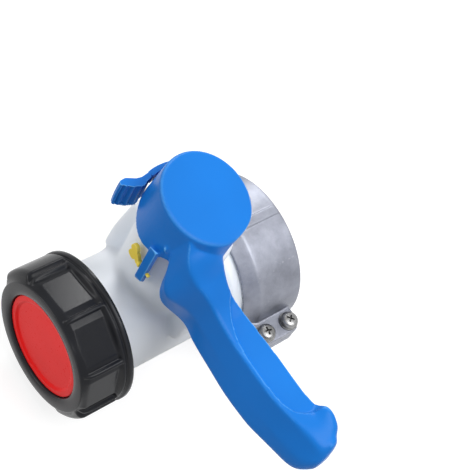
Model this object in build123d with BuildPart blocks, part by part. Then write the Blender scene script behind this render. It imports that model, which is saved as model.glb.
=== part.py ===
from build123d import *
import math
import os

os.makedirs("parts", exist_ok=True)

# Butterfly valve for the outlet of a bulk liquid tank, in millimetres.
# The flow runs along Y: the tank is at +Y, the outlet at -Y, the stem stands along +Z,
# and the closed handle points to +X. The origin is the centre of the clamp's rear face.
# A distance called "out" is measured from that face towards the outlet.

# Fits
skin_gap = 0.3
run_gap = 0.05
cut_over = 2.0
full_turn = 360.0
quarter_turn = full_turn / 4

# Outlet tube and its coarse-thread end (60 mm over the thread, 6 mm pitch)
tube_r = 30.0
tube_wall = 6.5
bore_r = tube_r - tube_wall
thread_depth = 2.7
thread_pitch = 6.0
thread_turns = 2.5
thread_start_out = 107.0
tube_lip_chamfer = 1.0
thread_root_r = tube_r - thread_depth
thread_len = thread_pitch * thread_turns
tube_end_out = thread_start_out + thread_len

# Bell and flange of the body, held inside the clamp
bell_step = 6.4
bell_r = tube_r + bell_step
bell_end_out = 40.0
bell_slope_len = 9.0
bell_start_out = bell_end_out + bell_slope_len
body_flange_step = 2.6
body_flange_r = bell_r + body_flange_step
body_flange_front_out = 30.0
body_flange_thick = 16.0
body_flange_rear_out = body_flange_front_out - body_flange_thick
gasket_edge = 3.0
gasket_width = 9.0
gasket_out_r = body_flange_r - gasket_edge
gasket_in_r = gasket_out_r - gasket_width
gasket_thick = 3.5
gasket_seat_depth = 1.5
gasket_fillet = 0.7

# Stem tower on the tube, with a wing on each side
stem_out = 67.5
tower_share = 0.76
tower_r = tube_r * tower_share
tower_rise = 40.0
tower_top_z = tube_r + tower_rise
tower_root_fillet = 4.0
tower_edge_fillet = 1.0
wing_proud = 1.2
wing_half_x = tube_r + wing_proud
wing_low_share = 0.43
wing_low_z = tube_r * wing_low_share
wing_drop = 22.0
wing_top_z = tower_top_z - wing_drop
wing_low_depth = 21.0
wing_top_depth = 9.0
wing_corner_r = 2.5
tower_boss_r = 15.0
tower_boss_h = 5.0
tower_boss_top_z = tower_top_z + tower_boss_h

# Stem, its bush and rings
stem_r = 7.0
stem_tail_r = 5.0
stem_tail_share = 0.69
stem_tail_z = -bore_r - tube_wall * stem_tail_share
stem_tail_gap = 0.4
stem_shoulder_gap = 0.5
stem_shoulder_z = bore_r + stem_shoulder_gap
stem_round_over = 1.0
stem_round_top_z = tower_boss_top_z + stem_round_over
stem_square = 10.0
stem_square_h = 14.0
stem_top_z = stem_round_top_z + stem_square_h
stem_chamfer = 0.8
bush_wall = 3.5
bush_r = stem_r + bush_wall
bush_h = 15.0
bush_bottom_z = tower_boss_top_z - bush_h
bush_chamfer = 0.4
ring_groove_drop = 24.0
ring_groove_low_z = tower_top_z - ring_groove_drop
ring_groove_step = 7.0
ring_wire_r = 0.95
ring_count = 2

# Disc with its rubber rim and cross pins
disc_thick = 5.0
disc_rim_r = bore_r - skin_gap
disc_rim_thick = 3.0
disc_rim_depth = 2.2
disc_plate_r = disc_rim_r - disc_rim_depth
disc_hub_wall = 3.5
disc_hub_r = stem_tail_r + disc_hub_wall
disc_boss_h = 4.0
disc_hub_half_z = bore_r - disc_boss_h
disc_boss_wall = 2.4
disc_boss_r = stem_tail_r + disc_boss_wall
disc_rib_thick = 2.5
disc_rib_count = 2
disc_rib_spread_share = 0.56
disc_rib_step = disc_plate_r * disc_rib_spread_share
disc_rib_len_share = 1.8
disc_rib_half_y = 5.0
disc_pin_r = 1.5
disc_pin_place_share = 0.56
disc_pin_z = disc_hub_half_z * disc_pin_place_share
disc_pin_short = 1.0
disc_pin_len = (disc_hub_r - disc_pin_short) * 2

# Clamp ring, cast in two halves that part at z = 0
ring_wall = 2.9
ring_r = body_flange_r + skin_gap + ring_wall
ring_front_lip = 5.5
ring_depth = body_flange_front_out + ring_front_lip
ring_shoulder_in = 8.0
ring_shoulder_out = ring_depth - ring_shoulder_in
ring_nose_wall = 1.3
ring_nose_r = bell_r + skin_gap + ring_nose_wall
ring_shoulder_fillet = 4.0
ring_lip_thick = 4.0
ring_rear_lip = 3.5
ring_rear_in_r = body_flange_r - ring_rear_lip
ring_part_gap = 0.3
ring_seam_angle = 87.0
ring_seam_width = 4.8
ring_seam_h = 0.7
ring_seam_edge = 1.0
lug_reach = 12.3
lug_out_x = ring_r + lug_reach
lug_thick = 6.0
lug_end = 6.0
lug_corner = 4.0
lug_edge_fillet = 1.0
screw_place_share = 0.55
screw_x = ring_r + lug_reach * screw_place_share
screw_rear_out = 11.5
screw_pitch = 15.7
lug_rear_out = screw_rear_out - lug_end
lug_front_out = screw_rear_out + screw_pitch + lug_end
screw_r = 2.5
screw_play = 0.25
screw_hole_r = screw_r + screw_play
screw_head_wall = 2.2
screw_head_r = screw_r + screw_head_wall
screw_head_h = 3.2
screw_head_crown = 1.2
screw_end = 3.0
cross_len_share = 1.15
cross_width_share = 0.23
cross_depth_share = 0.5
washer_rim = 0.5
washer_r = screw_head_r + washer_rim
washer_thick = 1.0
nut_flats_share = 3.2
nut_flats = screw_r * nut_flats_share
nut_h = 4.0
nut_sides = 6
hinge_reach = 4.8
hinge_x = -ring_r - hinge_reach
hinge_knuckle_wall = 2.5
hinge_pin_r = 2.5
hinge_knuckle_r = hinge_pin_r + hinge_knuckle_wall
hinge_pin_head_wall = 1.3
hinge_pin_head_r = hinge_pin_r + hinge_pin_head_wall
hinge_pin_head_h = 1.5
hinge_rear_out = 5.0
hinge_knuckle_len = 8.0
hinge_knuckle_count = 3
hinge_gap = 0.4

# Union nut, its sealing plate and gasket
cap_cover = 1.0
cap_rear_out = thread_start_out - cap_cover
cap_front_over = 11.0
cap_front_out = tube_end_out + cap_front_over
cap_thread_gap = 0.6
cap_thread_in_r = tube_r + cap_thread_gap
cap_wall = 6.0
cap_panel_r = cap_thread_in_r + cap_wall
cap_flange_proud = 3.4
cap_flange_r = cap_panel_r + cap_flange_proud
cap_flange_thick = 3.0
cap_flange_slope = 3.0
cap_flange_root = 1.6
cap_nose_step = 2.4
cap_nose_len = 3.6
cap_edge_fillet = 1.0
cap_mouth_step = 3.3
cap_mouth_r = cap_thread_in_r - cap_mouth_step
cap_lip_thick = 4.2
cap_sector_count = 8
cap_sector = full_turn / cap_sector_count
cap_rib_angle = 36.0
cap_lobe_sectors = (2, 6)
cap_flat_depth = 1.2
cap_lobe_proud = 2.8
cap_lobe_r = cap_panel_r + cap_lobe_proud
cap_lobe_fillet = 1.9
cap_lobe_front_len = 2.6
cap_lobe_chamfer = 1.5
cap_rib_width = 1.5
cap_rib_h = 2.2
plate_step_r = cap_mouth_r - skin_gap
plate_flange_gap = 0.7
plate_flange_r = cap_thread_in_r - plate_flange_gap
plate_flange_thick = 3.2
plate_face_recess = 1.6
plate_rim_width = 3.2
plate_dish_depth = 1.0

# Handle hub
hub_lift = 4.0
hub_bottom_z = tower_top_z + hub_lift
hub_overhang = 3.0
hub_bottom_r = tower_r + hub_overhang
hub_draft_in = 2.8
hub_top_r = hub_bottom_r - hub_draft_in
hub_h = 22.0
hub_top_z = hub_bottom_z + hub_h
hub_slope_x_share = 0.21
hub_slope_y_share = 0.10
hub_wall = 3.0
hub_edge_fillet = 1.6
hub_boss_wall = 2.0
hub_boss_r = stem_r + hub_boss_wall
hub_boss_gap = 0.5
hub_boss_bottom_z = stem_round_top_z + hub_boss_gap
hub_rib_count = 8
hub_rib_thick = 2.0
hub_rib_lift = 3.5
hub_rib_bottom_z = hub_boss_bottom_z + hub_rib_lift

# Neck and grip in one sweep of stations. A station is its place along the reach, five corners
# and how round each corner is. A corner is given across the stem's axis (towards the tank is
# positive) and up from the floor of the rise, both as shares.
grip_reach = 122.2
grip_sweep_over = 4.2
grip_sweep = hub_bottom_r + grip_sweep_over
grip_cap_gap = 0.9
grip_floor_z = cap_lobe_r + grip_cap_gap
grip_rise = hub_top_z - grip_floor_z
grip_edge_fillet = 1.6
grip_station_count = 24
neck_tower_gap = 1.2
neck_wing_gap = 0.8
grip_station_shares = [
    (0.049, ((0.050, 1.000), (-0.483, 1.028), (-0.583, 0.817), (-0.590, 0.670), (0.017, 0.670)),
     (1.25, 1.00, 1.25, 1.25, 1.25)),
    (0.098, ((0.017, 0.974), (-0.577, 0.978), (-0.747, 0.725), (-0.747, 0.596), (0.017, 0.560)),
     (1.25, 1.00, 1.88, 1.25, 1.25)),
    (0.139, ((-0.017, 0.903), (-0.643, 0.894), (-0.850, 0.541), (-0.817, 0.354), (0.017, 0.303)),
     (1.25, 1.00, 2.50, 1.25, 1.25)),
    (0.180, ((-0.047, 0.809), (-0.707, 0.791), (-0.930, 0.450), (-0.863, 0.200), (0.030, 0.193)),
     (1.25, 1.00, 2.50, 1.56, 1.25)),
    (0.221, ((-0.070, 0.703), (-0.703, 0.716), (-0.863, 0.394), (-0.657, 0.083), (0.043, 0.138)),
     (1.25, 1.00, 3.12, 1.56, 1.25)),
    (0.278, ((-0.070, 0.578), (-0.577, 0.633), (-0.663, 0.339), (-0.570, 0.046), (0.050, 0.083)),
     (1.25, 1.00, 3.75, 1.56, 1.25)),
    (0.360, ((0.010, 0.472), (-0.483, 0.512), (-0.600, 0.284), (-0.647, 0.046), (0.067, 0.055)),
     (1.25, 1.00, 3.75, 1.56, 1.25)),
    (0.475, ((0.070, 0.439), (-0.463, 0.446), (-0.590, 0.248), (-0.690, 0.042), (0.083, 0.039)),
     (1.25, 1.00, 3.75, 1.56, 1.25)),
    (0.589, ((0.103, 0.428), (-0.453, 0.435), (-0.590, 0.229), (-0.713, 0.031), (0.103, 0.028)),
     (1.25, 1.00, 3.75, 1.56, 1.25)),
    (0.712, ((0.110, 0.428), (-0.437, 0.435), (-0.570, 0.229), (-0.690, 0.028), (0.110, 0.028)),
     (1.25, 1.00, 3.75, 1.56, 1.25)),
    (0.810, ((0.137, 0.435), (-0.383, 0.442), (-0.550, 0.229), (-0.637, 0.042), (0.117, 0.046)),
     (1.38, 1.12, 3.75, 1.88, 1.56)),
    (0.876, ((0.197, 0.479), (-0.343, 0.453), (-0.517, 0.248), (-0.590, 0.046), (0.133, 0.064)),
     (1.88, 1.50, 3.75, 2.50, 1.88)),
    (0.921, ((0.197, 0.490), (-0.317, 0.453), (-0.490, 0.257), (-0.550, 0.046), (0.117, 0.068)),
     (2.50, 1.88, 3.75, 3.12, 2.50)),
    (0.956, ((0.150, 0.483), (-0.290, 0.442), (-0.457, 0.270), (-0.503, 0.062), (0.090, 0.094)),
     (3.12, 2.50, 3.75, 3.44, 3.12)),
    (0.984, ((0.077, 0.442), (-0.263, 0.413), (-0.403, 0.284), (-0.437, 0.105), (0.030, 0.141)),
     (2.75, 2.50, 3.12, 3.12, 2.75)),
    (1.000, ((-0.003, 0.380), (-0.230, 0.369), (-0.330, 0.284), (-0.343, 0.174), (-0.030, 0.200)),
     (1.88, 1.88, 1.88, 1.88, 1.88)),
]

# Shallow dish in the grip's top, given along, across and up in the same shares
dish_station_shares = [
    (0.303, -0.050, 0.510),
    (0.344, -0.163, 0.455),
    (0.393, -0.263, 0.424),
    (0.458, -0.347, 0.413),
    (0.540, -0.383, 0.407),
    (0.655, -0.383, 0.402),
    (0.753, -0.347, 0.406),
    (0.802, -0.263, 0.411),
    (0.831, -0.100, 0.416),
    (0.850, 0.150, 0.440),
]
dish_over = 8.0

# Hollows under the grip, parted by cross ribs
pocket_wall = 2.8
pocket_start_share = 0.34
pocket_end_share = 0.93
pocket_count = 6
pocket_rib = 2.2
pocket_roof = 4.6
pocket_draft = 1.0
pocket_sections = 4

# Seal tab on the hub's skirt and the pull-out seal
tab_x = 3.4
tab_width = 4.8
tab_thick = 3.2
tab_proud = 1.6
tab_front_r = hub_bottom_r + tab_proud
tab_wing_gap = 1.8
tab_bottom_z = wing_top_z + tab_wing_gap
tab_corner_r = 0.6
seal_lift = 7.2
seal_z = tab_bottom_z + seal_lift
seal_pin_r = 0.85
seal_tail_len = 1.8
seal_collar_r = 1.7
seal_collar_thick = 1.6
seal_neck_len = 2.4
seal_bow_r = 2.6
seal_bow_count = 3
seal_bow_thick = 2.0

# Thumb latch beside the hub, swinging on a pin between two ears
latch_pivot_out = 3.6
latch_pivot_r = hub_bottom_r + latch_pivot_out
latch_pivot_angle = 150.0
latch_skirt_gap = 0.6
latch_arm_thick = 3.0
latch_head_angle = 196.0
latch_low_gap = 0.2
latch_low_z = hub_bottom_z + latch_low_gap
latch_h = 6.8
latch_top_z = latch_low_z + latch_h
latch_head_drop = 10.0
latch_bottom_z = latch_low_z - latch_head_drop
latch_ear_thick = 1.9
latch_pin_r = 1.5
latch_knuckle_wall = 1.6
latch_knuckle_r = latch_pin_r + latch_knuckle_wall
latch_ear_r = latch_knuckle_r + skin_gap
latch_pin_head_wall = 0.8
latch_pin_head_r = latch_pin_r + latch_pin_head_wall
latch_pin_head_h = 0.8
latch_head_len = 15.5
latch_head_thick = 6.2
latch_head_fillet = 0.7
latch_head_shares = [
    (0.00, -0.10), (0.18, 0.28), (0.17, 0.46), (-0.10, 0.74), (0.02, 0.94),
    (0.42, 0.96), (0.78, 0.72), (0.90, 0.50), (1.00, 0.14),
]
latch_rib_r = 0.75
latch_rib_count = 4
latch_rib_start_share = (0.30, 0.93)
latch_rib_end_share = (0.88, 0.36)
latch_spring_wire_r = 0.42
latch_spring_turns = 2
latch_spring_pitch_share = 1.8


def save(piece, name):
    piece.label = name
    export_step(piece, f"parts/{name}.step")


def turned(points, axis=Axis.Y, plane=Plane.XY):
    with BuildPart() as lathe:
        with BuildSketch(plane):
            with BuildLine():
                Polyline(*points, close=True)
            make_face()
        revolve(axis=axis)
    return lathe.part


# The stem's axis, and a vertical plane through it for turned profiles
stem_axis = Axis((0, -stem_out, 0), (0, 0, 1))
stem_plane = Plane.XZ.offset(stem_out)

# Body: outlet tube, bell, flange, tower and wings in one moulding
body_points = [
    (bore_r, -tube_end_out),
    (thread_root_r - tube_lip_chamfer, -tube_end_out),
    (thread_root_r, -tube_end_out + tube_lip_chamfer),
    (thread_root_r, -thread_start_out),
    (tube_r, -thread_start_out + thread_depth),
    (tube_r, -bell_start_out),
    (bell_r, -bell_end_out),
    (bell_r, -body_flange_front_out),
    (body_flange_r, -body_flange_front_out),
    (body_flange_r, -body_flange_rear_out),
    (gasket_out_r + run_gap, -body_flange_rear_out),
    (gasket_out_r + run_gap, -body_flange_rear_out - gasket_seat_depth),
    (gasket_in_r - run_gap, -body_flange_rear_out - gasket_seat_depth),
    (gasket_in_r - run_gap, -body_flange_rear_out),
    (bore_r, -body_flange_rear_out),
]
bore_cut = turned(
    [
        (0, -tube_end_out - cut_over),
        (bore_r, -tube_end_out - cut_over),
        (bore_r, cut_over - body_flange_rear_out),
        (0, cut_over - body_flange_rear_out),
    ]
)
with BuildPart() as wings:
    for height, depth in ((wing_low_z, wing_low_depth), (wing_top_z, wing_top_depth)):
        with BuildSketch(Plane.XY.offset(height)):
            with Locations((0, -stem_out)):
                Rectangle(wing_half_x + wing_half_x, depth)
    loft()
    fillet(
        wings.edges().filter_by(lambda e: abs(e.center().X) > wing_half_x - run_gap
                                and e.center().Z > wing_low_z + run_gap),
        radius=wing_corner_r,
    )

with BuildPart() as tower:
    with BuildSketch(Plane.XZ.offset(bell_end_out)):
        Circle(tube_r)
    extrude(amount=thread_start_out - thread_depth - bell_end_out)
    with BuildSketch(Plane.XY):
        with Locations((0, -stem_out)):
            Circle(tower_r)
    extrude(amount=tower_top_z)
    fillet(
        tower.edges().filter_by(lambda e: abs(e.center().Y + stem_out) < run_gap
                                and run_gap < e.center().Z < tube_r),
        radius=tower_root_fillet,
    )
    fillet(tower.edges().filter_by(GeomType.CIRCLE).group_by(Axis.Z)[-1], radius=tower_edge_fillet)

with BuildPart() as valve_body:
    with BuildSketch(Plane.XY):
        with BuildLine():
            Polyline(*body_points, close=True)
        make_face()
    revolve(axis=Axis.Y)
    add(tower.part)
    add(wings.part)
    with BuildSketch(Plane.XY.offset(tower_top_z)):
        with Locations((0, -stem_out)):
            Circle(tower_boss_r)
    extrude(amount=tower_boss_top_z - tower_top_z)
    add(bore_cut, mode=Mode.SUBTRACT)
    with Locations((0, -stem_out, 0)):
        Cylinder(
            stem_r + run_gap, tower_boss_top_z + cut_over,
            align=(Align.CENTER, Align.CENTER, Align.MIN), mode=Mode.SUBTRACT,
        )
    with Locations((0, -stem_out, bush_bottom_z)):
        Cylinder(
            bush_r + run_gap, tower_boss_top_z - bush_bottom_z + cut_over,
            align=(Align.CENTER, Align.CENTER, Align.MIN), mode=Mode.SUBTRACT,
        )
    with Locations((0, -stem_out, stem_tail_z - stem_tail_gap)):
        Cylinder(
            stem_tail_r + run_gap, stem_tail_gap - stem_tail_z,
            align=(Align.CENTER, Align.CENTER, Align.MIN), mode=Mode.SUBTRACT,
        )
save(valve_body.part, "valve_body")

with BuildPart() as stem_bush:
    with Locations((0, -stem_out, bush_bottom_z)):
        Cylinder(bush_r, tower_boss_top_z - bush_bottom_z, align=(Align.CENTER, Align.CENTER, Align.MIN))
        Cylinder(
            stem_r + run_gap, tower_boss_top_z - bush_bottom_z,
            align=(Align.CENTER, Align.CENTER, Align.MIN), mode=Mode.SUBTRACT,
        )
    chamfer(stem_bush.faces().sort_by(Axis.Z)[-1].edges(), length=bush_chamfer)
save(stem_bush.part, "stem_bush")

with BuildPart() as tank_gasket:
    with BuildSketch(Plane.XZ.offset(body_flange_rear_out + gasket_seat_depth)):
        Circle(gasket_out_r)
        Circle(gasket_in_r, mode=Mode.SUBTRACT)
    extrude(amount=-gasket_thick)
    fillet(tank_gasket.faces().sort_by(Axis.Y)[-1].edges(), radius=gasket_fillet)
save(tank_gasket.part, "tank_gasket")

# Stem with its shoulder, ring grooves and square drive
ring_heights = [ring_groove_low_z + ring_groove_step * i for i in range(ring_count)]
ring_centre_r = stem_r - ring_wire_r
with BuildPart() as stem:
    with Locations((0, -stem_out, stem_tail_z)):
        Cylinder(stem_tail_r, stem_shoulder_z - stem_tail_z, align=(Align.CENTER, Align.CENTER, Align.MIN))
    chamfer(stem.faces().sort_by(Axis.Z)[0].edges(), length=stem_chamfer)
    with Locations((0, -stem_out, stem_shoulder_z)):
        Cylinder(stem_r, stem_round_top_z - stem_shoulder_z, align=(Align.CENTER, Align.CENTER, Align.MIN))
    with BuildSketch(Plane.XY.offset(stem_round_top_z)):
        with Locations((0, -stem_out)):
            Rectangle(stem_square, stem_square)
    extrude(amount=stem_top_z - stem_round_top_z)
    chamfer(stem.faces().sort_by(Axis.Z)[-1].edges(), length=stem_chamfer)
    for height in ring_heights:
        with Locations((0, -stem_out, height)):
            Torus(ring_centre_r, ring_wire_r + run_gap, mode=Mode.SUBTRACT)
    for side in (-1, 1):
        with Locations(Location((0, -stem_out, side * disc_pin_z), (quarter_turn, 0, 0))):
            Cylinder(disc_pin_r + run_gap, disc_hub_r + disc_hub_r, mode=Mode.SUBTRACT)
save(stem.part, "stem")

with BuildPart() as stem_o_rings:
    for height in ring_heights:
        with Locations((0, -stem_out, height)):
            Torus(ring_centre_r, ring_wire_r)
save(stem_o_rings.part, "stem_o_rings")

# Disc: a plate on a hub along the stem, inside a sphere so that it can turn in the bore.
# The rubber rim runs round it and widens to a boss where the stem passes.
disc_face = Location((0, -stem_out, 0), (quarter_turn, 0, 0))
with BuildPart() as disc_seal:
    with Locations(disc_face):
        Cylinder(disc_rim_r + cut_over, disc_rim_thick)
        Cylinder(disc_plate_r, disc_rim_thick, mode=Mode.SUBTRACT)
    for side in (-1, 1):
        with Locations((0, -stem_out, side * disc_hub_half_z)):
            Cylinder(
                disc_boss_r, disc_rim_r,
                align=(Align.CENTER, Align.CENTER, Align.MIN if side > 0 else Align.MAX),
            )
    with Locations((0, -stem_out, 0)):
        Sphere(disc_rim_r, mode=Mode.INTERSECT)
        Cylinder(stem_tail_r + run_gap, bore_r + bore_r, mode=Mode.SUBTRACT)
save(disc_seal.part, "disc_seal")

with BuildPart() as disc:
    with Locations(disc_face):
        Cylinder(disc_rim_r, disc_thick)
    with Locations((0, -stem_out, 0)):
        Cylinder(disc_hub_r, disc_hub_half_z + disc_hub_half_z)
    for i in range(disc_rib_count):
        with Locations((0, -stem_out, disc_rib_step * (i - (disc_rib_count - 1) / 2))):
            Box(disc_plate_r * disc_rib_len_share, disc_rib_half_y + disc_rib_half_y, disc_rib_thick)
    with Locations((0, -stem_out, 0)):
        Sphere(disc_rim_r, mode=Mode.INTERSECT)
    with Locations(disc_face):
        Cylinder(disc_rim_r + cut_over, disc_rim_thick, mode=Mode.SUBTRACT)
        Cylinder(disc_plate_r, disc_rim_thick)
    for side in (-1, 1):
        with Locations((0, -stem_out, side * disc_hub_half_z)):
            Cylinder(
                disc_boss_r, disc_rim_r,
                align=(Align.CENTER, Align.CENTER, Align.MIN if side > 0 else Align.MAX),
                mode=Mode.SUBTRACT,
            )
    with Locations((0, -stem_out, 0)):
        Cylinder(stem_tail_r + run_gap, bore_r + bore_r, mode=Mode.SUBTRACT)
    for side in (-1, 1):
        with Locations(Location((0, -stem_out, side * disc_pin_z), (quarter_turn, 0, 0))):
            Cylinder(disc_pin_r + run_gap, disc_hub_r * 2 + cut_over, mode=Mode.SUBTRACT)
save(disc.part, "disc")

with BuildPart() as disc_pins:
    for side in (-1, 1):
        with Locations(Location((0, -stem_out, side * disc_pin_z), (quarter_turn, 0, 0))):
            Cylinder(disc_pin_r, disc_pin_len)
save(disc_pins.part, "disc_pins")

# Clamp ring profile, turned once and parted into two halves
groove_front_out = body_flange_front_out + skin_gap
ring_points = [
    (ring_rear_in_r, 0),
    (ring_r - skin_gap, 0),
    (ring_r, -skin_gap),
    (ring_r, -ring_shoulder_out),
    (ring_nose_r, -ring_depth),
    (bell_r + skin_gap, -ring_depth),
    (bell_r + skin_gap, -groove_front_out),
    (body_flange_r + skin_gap, -groove_front_out),
    (body_flange_r + skin_gap, -ring_lip_thick),
    (ring_rear_in_r, -ring_lip_thick),
]
ring_turned = turned(ring_points)
screw_spots = [(screw_x, -screw_rear_out - screw_pitch * i) for i in range(2)]
lug_root_x = body_flange_r + skin_gap + run_gap
hinge_len = hinge_knuckle_len * hinge_knuckle_count
hinge_middle_out = hinge_rear_out + hinge_len / 2
hinge_spot = Location((hinge_x, -hinge_middle_out, 0), (quarter_turn, 0, 0))
ring_seam_turn = math.radians(ring_seam_angle)
ring_seam_len = ring_shoulder_out - ring_seam_edge * 2
ring_seam_wide = ring_seam_h + ring_wall / 2
ring_seam_mid_r = ring_r + ring_seam_h - ring_seam_wide / 2
ring_seam_spot = Location(
    (ring_seam_mid_r * math.cos(ring_seam_turn), -ring_shoulder_out / 2,
     ring_seam_mid_r * math.sin(ring_seam_turn)),
    (0, -ring_seam_angle, 0),
)
half_kinds = [("clamp_upper_half", 1, (-1, 1)), ("clamp_lower_half", -1, (0,))]
for half_name, side, thirds in half_kinds:
    with BuildPart() as half:
        add(ring_turned)
        fillet(
            half.edges().filter_by(GeomType.CIRCLE).filter_by_position(
                Axis.Y, -ring_shoulder_out - run_gap, -ring_shoulder_out + run_gap),
            radius=ring_shoulder_fillet,
        )
        with BuildSketch(Plane.XY) as lug:
            with BuildLine():
                Polyline(
                    (lug_root_x, -lug_rear_out),
                    (lug_out_x - lug_corner, -lug_rear_out),
                    (lug_out_x, -lug_rear_out - lug_corner),
                    (lug_out_x, -lug_front_out),
                    (lug_root_x, -lug_front_out),
                    close=True,
                )
            make_face()
            fillet(lug.vertices().group_by(Axis.X)[-1], radius=lug_edge_fillet)
        extrude(amount=side * lug_thick)
        with Locations(ring_seam_spot):
            Box(ring_seam_wide, ring_seam_len, ring_seam_width)
        with Locations((0, 0, -side * (ring_r + cut_over - ring_part_gap / 2))):
            Box(lug_out_x * 2 + cut_over, lug_out_x * 2 + cut_over, (ring_r + cut_over) * 2,
                mode=Mode.SUBTRACT)
        with Locations(hinge_spot):
            Cylinder(hinge_knuckle_r + hinge_gap, hinge_len + hinge_gap * 2, mode=Mode.SUBTRACT)
        for third in thirds:
            knuckle_out = hinge_middle_out + hinge_knuckle_len * third
            with Locations(Location((hinge_x, -knuckle_out, 0), (quarter_turn, 0, 0))):
                Cylinder(hinge_knuckle_r, hinge_knuckle_len - hinge_gap)
            with Locations((hinge_x / 2 - body_flange_r / 2 - ring_wall / 2, -knuckle_out,
                            side * (hinge_knuckle_r + ring_part_gap) / 2)):
                Box(
                    -hinge_x - body_flange_r - ring_wall,
                    hinge_knuckle_len - hinge_gap,
                    hinge_knuckle_r - ring_part_gap,
                )
        with Locations(hinge_spot):
            Cylinder(hinge_pin_r + run_gap, hinge_len + cut_over, mode=Mode.SUBTRACT)
        with Locations(*[(x, y, 0) for x, y in screw_spots]):
            Cylinder(screw_hole_r, (lug_thick + cut_over) * 2, mode=Mode.SUBTRACT)
    save(half.part, half_name)

with BuildPart() as clamp_hinge_pin:
    with Locations(hinge_spot):
        Cylinder(hinge_pin_r, hinge_len)
    for end in (-1, 1):
        head_out = hinge_middle_out + end * (hinge_len + hinge_pin_head_h) / 2
        with Locations(Location((hinge_x, -head_out, 0), (quarter_turn, 0, 0))):
            Cylinder(hinge_pin_head_r, hinge_pin_head_h)
save(clamp_hinge_pin.part, "clamp_hinge_pin")

head_z = lug_thick + washer_thick
screw_len = head_z + lug_thick + nut_h + screw_end
cross_len = screw_head_r * cross_len_share
cross_width = screw_head_r * cross_width_share
cross_depth = screw_head_h * cross_depth_share
with BuildPart() as clamp_screws:
    for x, y in screw_spots:
        with Locations((x, y, head_z)):
            Cylinder(screw_r, screw_len, align=(Align.CENTER, Align.CENTER, Align.MAX))
            Cylinder(screw_head_r, screw_head_h, align=(Align.CENTER, Align.CENTER, Align.MIN))
    fillet(
        clamp_screws.edges().filter_by(GeomType.CIRCLE).group_by(Axis.Z)[-1],
        radius=screw_head_crown,
    )
    for x, y in screw_spots:
        with Locations((x, y, head_z + screw_head_h)):
            Box(cross_len, cross_width, cross_depth * 2, mode=Mode.SUBTRACT)
            Box(cross_width, cross_len, cross_depth * 2, mode=Mode.SUBTRACT)
save(clamp_screws.part, "clamp_screws")

with BuildPart() as clamp_washers:
    for x, y in screw_spots:
        with Locations((x, y, lug_thick)):
            Cylinder(washer_r, washer_thick, align=(Align.CENTER, Align.CENTER, Align.MIN))
            Cylinder(screw_hole_r, (washer_thick + cut_over) * 2, mode=Mode.SUBTRACT)
save(clamp_washers.part, "clamp_washers")

with BuildPart() as clamp_nuts:
    with BuildSketch(Plane.XY.offset(-lug_thick)):
        with Locations(*screw_spots):
            RegularPolygon(radius=nut_flats / 2, side_count=nut_sides, major_radius=False)
            Circle(screw_r + run_gap, mode=Mode.SUBTRACT)
    extrude(amount=-nut_h)
save(clamp_nuts.part, "clamp_nuts")

# Union nut: a turned shell with eight flat panels, thin ribs between them and two grip lobes
plate_back_out = cap_front_out - cap_lip_thick - plate_flange_thick
cap_panel_rear_out = cap_rear_out + cap_flange_thick + cap_flange_slope
cap_points = [
    (cap_thread_in_r, -cap_rear_out),
    (cap_flange_r - cap_edge_fillet, -cap_rear_out),
    (cap_flange_r, -cap_rear_out - cap_edge_fillet),
    (cap_flange_r, -cap_rear_out - cap_flange_thick),
    (cap_panel_r + cap_flange_root, -cap_panel_rear_out),
    (cap_panel_r, -cap_panel_rear_out),
    (cap_panel_r, -cap_front_out + cap_nose_len),
    (cap_panel_r - cap_nose_step, -cap_front_out),
    (cap_mouth_r, -cap_front_out),
    (cap_mouth_r, -cap_front_out + cap_lip_thick),
    (cap_thread_in_r, -cap_front_out + cap_lip_thick),
]
cap_lobe_len = cap_front_out - cap_lobe_front_len - cap_rear_out - cap_flange_thick
with BuildPart() as cap_lobes:
    for sector in cap_lobe_sectors:
        with BuildSketch(Plane.XZ.offset(cap_rear_out + cap_flange_thick)) as lobe:
            with BuildLine():
                low = cap_rib_angle + sector * cap_sector
                outer = CenterArc((0, 0), cap_lobe_r, low, cap_sector)
                inner = CenterArc((0, 0), cap_panel_r - cap_rib_h, low, cap_sector)
                Line(inner @ 0, outer @ 0)
                Line(inner @ 1, outer @ 1)
            make_face()
            fillet(lobe.vertices().filter_by(
                lambda v: math.hypot(v.X, v.Y) > cap_panel_r + run_gap), radius=cap_lobe_fillet)
        extrude(amount=cap_lobe_len)
    chamfer(
        cap_lobes.faces().group_by(Axis.Y)[0].edges().filter_by(
            lambda e: math.hypot(e.center().X, e.center().Z) > cap_panel_r + run_gap),
        length=cap_lobe_chamfer,
    )

with BuildPart() as cap_ring:
    add(turned(cap_points))
    with BuildSketch(Plane.XZ.offset(cap_panel_rear_out)):
        Circle(cap_flange_r + cut_over)
        RegularPolygon(
            radius=cap_panel_r - cap_flat_depth, side_count=cap_sector_count, major_radius=False,
            rotation=cap_rib_angle, mode=Mode.SUBTRACT,
        )
    extrude(amount=cap_front_out - cap_nose_len - cap_panel_rear_out, mode=Mode.SUBTRACT)
    add(cap_lobes.part)
    for i in range(cap_sector_count):
        rib_turn = math.radians(cap_rib_angle + i * cap_sector)
        rib_len = cap_front_out - cap_nose_len - cap_panel_rear_out
        spot = Location(
            (cap_panel_r * math.cos(rib_turn), -cap_panel_rear_out - rib_len / 2,
             cap_panel_r * math.sin(rib_turn)),
            (0, -math.degrees(rib_turn), 0),
        )
        with Locations(spot):
            Box(cap_rib_h + cap_rib_h, rib_len, cap_rib_width)
save(cap_ring.part, "cap_ring")

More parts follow.
